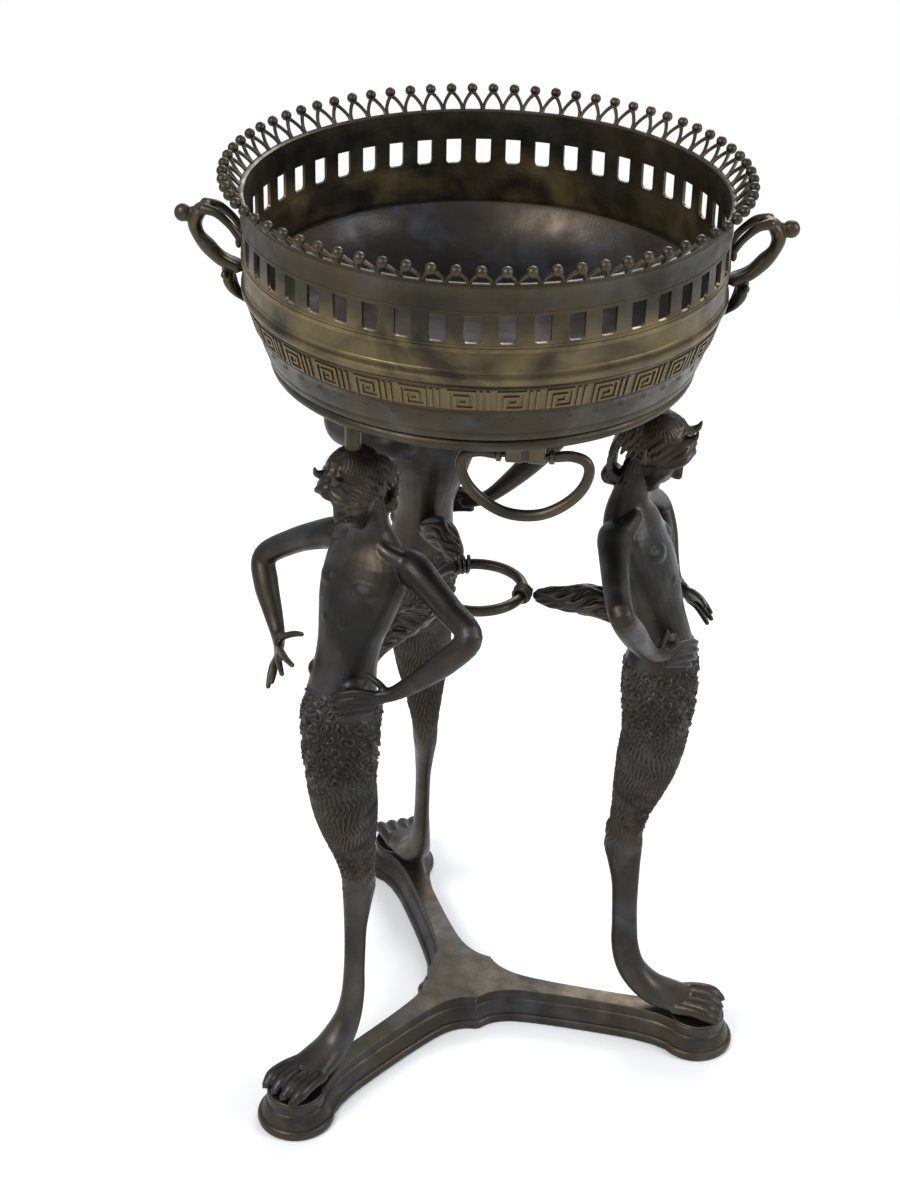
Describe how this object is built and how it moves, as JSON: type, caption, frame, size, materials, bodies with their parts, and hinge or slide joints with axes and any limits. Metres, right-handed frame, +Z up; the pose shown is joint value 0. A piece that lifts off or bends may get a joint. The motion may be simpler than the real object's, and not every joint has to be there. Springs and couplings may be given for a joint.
{
  "type": "tripod brazier",
  "caption": "Round fire bowl with a pierced rim and outward-leaning finials, carried by standing satyr figures on a three-armed base, with a loose pan, bent side handles and a drop handle.",
  "frame": {"origin": "on the bowl axis at the underside of the base hub", "axes": "+Z up, handles along X, front toward -Y"},
  "size_m": [0.4897, 0.4579, 0.8191],
  "materials": {
    "base_bronze": "dark patina, worn edges",
    "figure_bronze": "dark patina, polished high points",
    "bowl_bronze": "dark patina with brass rub-through",
    "frieze_bronze": "worn relief",
    "pan_bronze": "smooth, soot-darkened",
    "fitting_bronze": "satin patina",
    "fasteners": "dull"
  },
  "bodies": {
    "brazier": {"base": "base_bronze", "satyr_left": "figure_bronze", "hip_arm_left": "figure_bronze", "open_arm_left": "figure_bronze", "tail_left": "figure_bronze", "tail_binding_left": "fitting_bronze", "head_post_left": "fitting_bronze", "post_nut_left": "fasteners", "paw_stud_left": "fasteners", "paw_nut_left": "fasteners", "satyr_right": "figure_bronze", "hip_arm_right": "figure_bronze", "open_arm_right": "figure_bronze", "tail_right": "figure_bronze", "tail_binding_right": "fitting_bronze", "head_post_right": "fitting_bronze", "post_nut_right": "fasteners", "paw_stud_right": "fasteners", "paw_nut_right": "fasteners", "satyr_rear": "figure_bronze", "hip_arm_rear": "figure_bronze", "open_arm_rear": "figure_bronze", "tail_rear": "figure_bronze", "tail_binding_rear": "fitting_bronze", "head_post_rear": "fitting_bronze", "post_nut_rear": "fasteners", "paw_stud_rear": "fasteners", "paw_nut_rear": "fasteners", "tail_ring": "fitting_bronze", "bowl_floor": "bowl_bronze", "foot_ring": "bowl_bronze", "bowl_shell": "bowl_bronze", "key_frieze": "frieze_bronze", "pierced_gallery": "bowl_bronze", "finial_crown": "bowl_bronze", "side_handle_left": "fitting_bronze", "handle_rivet_left": "fasteners", "side_handle_right": "fitting_bronze", "handle_rivet_right": "fasteners", "handle_lug": "fitting_bronze"},
    "drop_handle": {"drop_handle": "fitting_bronze"},
    "fire_pan": {"fire_pan": "pan_bronze"}
  },
  "joints": [
    {"name": "drop_handle_hinge", "type": "hinge", "parent": "brazier", "child": "drop_handle", "pos_m": [0.034, -0.143, 0.646], "axis": [0.9976, -0.0698, 0], "range_deg": [-70, 70]},
    {"name": "fire_pan_lift", "type": "slide", "parent": "brazier", "child": "fire_pan", "axis": [0, 0, 1], "range_m": [0, 0.15]}
  ]
}
